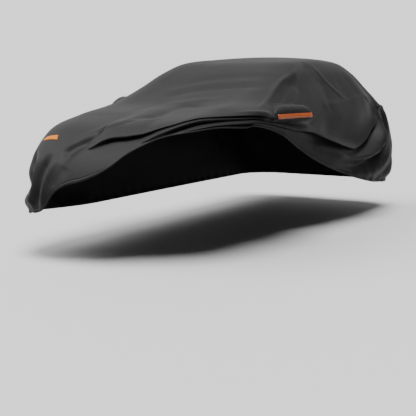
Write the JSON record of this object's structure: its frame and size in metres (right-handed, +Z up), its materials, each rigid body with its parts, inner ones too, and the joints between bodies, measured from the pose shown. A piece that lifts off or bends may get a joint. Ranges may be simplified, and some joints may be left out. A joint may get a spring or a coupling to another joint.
{
  "type": "fitted car cover",
  "caption": "Fitted cloth cover in the shape of a car, drawn up in folds off its left front corner, with two mirror pockets and reflective tapes; hollow and open below.",
  "frame": {"origin": "where the car's roof carries the cover: on the middle line, under the roof cloth, 0.68 m behind the middle of the wheelbase", "axes": "+Y toward the rear along the cover, +X toward the car's left side, +Z up"},
  "size_m": [2.1172, 4.3233, 1.3535],
  "materials": {
    "coated_cloth": "matt dark charcoal woven polyester with a thin coating",
    "reflective_tape": "orange tape with paler lines, slightly glossy"
  },
  "bodies": {
    "root": {"centre_panel": "coated_cloth", "left_panel": "coated_cloth", "right_panel": "coated_cloth", "left_mirror_pocket": "coated_cloth", "right_mirror_pocket": "coated_cloth", "left_mirror_tape": "reflective_tape", "right_mirror_tape": "reflective_tape", "hood_tape": "reflective_tape"}
  },
  "joints": []
}
